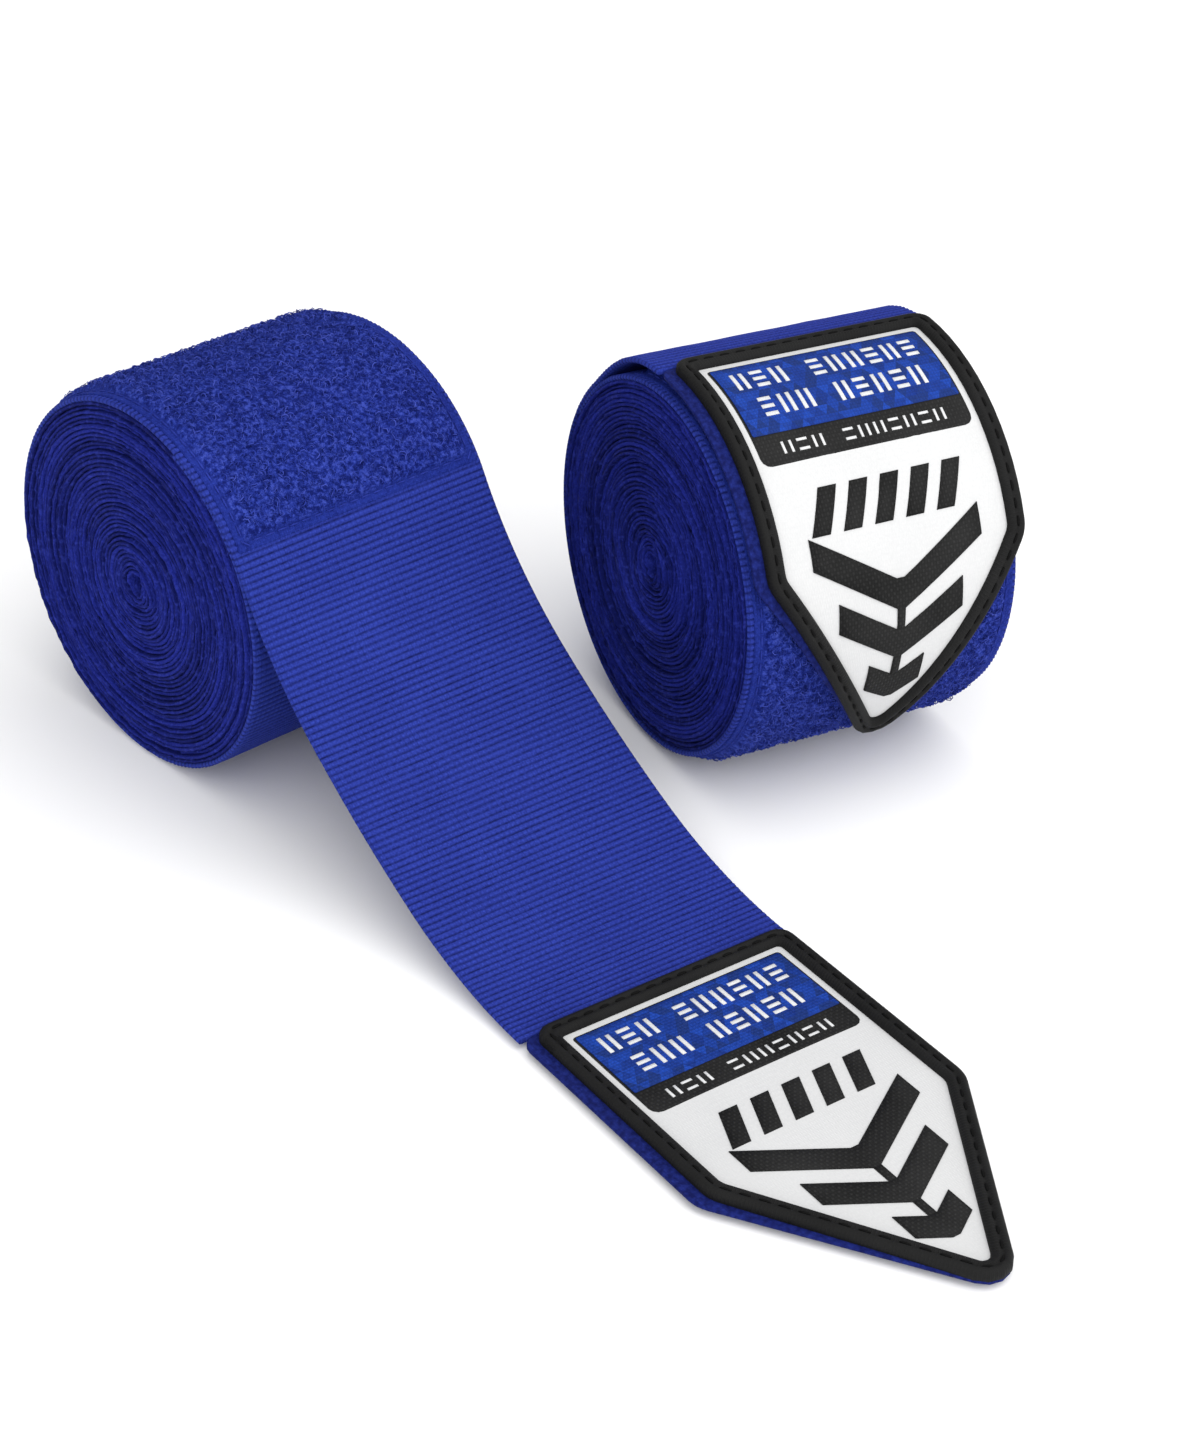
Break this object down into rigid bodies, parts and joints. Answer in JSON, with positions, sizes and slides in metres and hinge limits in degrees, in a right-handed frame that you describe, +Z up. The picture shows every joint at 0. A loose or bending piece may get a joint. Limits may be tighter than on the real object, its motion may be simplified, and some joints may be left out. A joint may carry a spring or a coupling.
{
  "type": "hand wrap",
  "caption": "Long webbing hand wraps rolled up, one closed by its hook-and-loop tab, one with its pointed label tab lying open on the floor.",
  "frame": {"origin": "middle of the pair's footprint, on the floor", "axes": "+X along the open roll from its near end to its far end; -Y the way the open tab points; +Z up"},
  "size_m": [0.134, 0.21, 0.0691],
  "materials": {
    "black_thread": "close satin embroidery",
    "blue_thread": "matte sewing thread",
    "blue_weave": "woven label cloth with a light and dark facet pattern",
    "dark_thread": "matte sewing thread",
    "hook_tape": "nylon hook tape, slightly glossy",
    "pile": "soft brushed loop pile",
    "webbing": "ribbed woven cotton and nylon, slightly uneven",
    "white_satin": "satin weave"
  },
  "bodies": {
    "open_roll": {"open_pile_panel": "pile", "open_pile_stitching": "blue_thread", "open_thumb_loop": "webbing", "open_thumb_loop_tack": "dark_thread", "open_webbing_roll": "webbing"},
    "open_tail": {"open_tail_webbing": "webbing"},
    "open_tab": {"open_border_stitching": "dark_thread", "open_hook_panel": "hook_tape", "open_hook_stitching": "blue_thread", "open_label_border": "black_thread", "open_label_field": "white_satin", "open_label_mark": "black_thread", "open_label_panel": "blue_weave", "open_label_strip": "black_thread", "open_tab_webbing": "webbing"},
    "closed_roll": {"closed_pile_panel": "pile", "closed_pile_stitching": "blue_thread", "closed_thumb_loop": "webbing", "closed_thumb_loop_tack": "dark_thread", "closed_webbing_roll": "webbing"},
    "closed_flap": {"closed_border_stitching": "dark_thread", "closed_hook_panel": "hook_tape", "closed_hook_stitching": "blue_thread", "closed_label_border": "black_thread", "closed_label_field": "white_satin", "closed_label_mark": "black_thread", "closed_label_panel": "blue_weave", "closed_label_strip": "black_thread", "closed_tab_webbing": "webbing"}
  },
  "joints": [
    {"name": "open_tail_lift", "type": "hinge", "parent": "open_roll", "child": "open_tail", "pos_m": [-0.0317, 0.04421, 0.0465], "axis": [-1, 0, 0], "range_deg": [0, 80]},
    {"name": "open_tab_lift", "type": "hinge", "parent": "open_tail", "child": "open_tab", "pos_m": [-0.03691, -0.0298, 0.0015], "axis": [-0.9922, 0.1243, 0], "range_deg": [0, 85]},
    {"name": "closed_wrap_lift", "type": "slide", "parent": "open_roll", "child": "closed_roll", "axis": [0, 0, 1], "range_m": [0, 0.15]},
    {"name": "closed_flap_peel", "type": "hinge", "parent": "closed_roll", "child": "closed_flap", "pos_m": [0.03757, 0.02722, 0.06545], "axis": [-0.963, 0.2696, 0], "range_deg": [0, 75]}
  ]
}
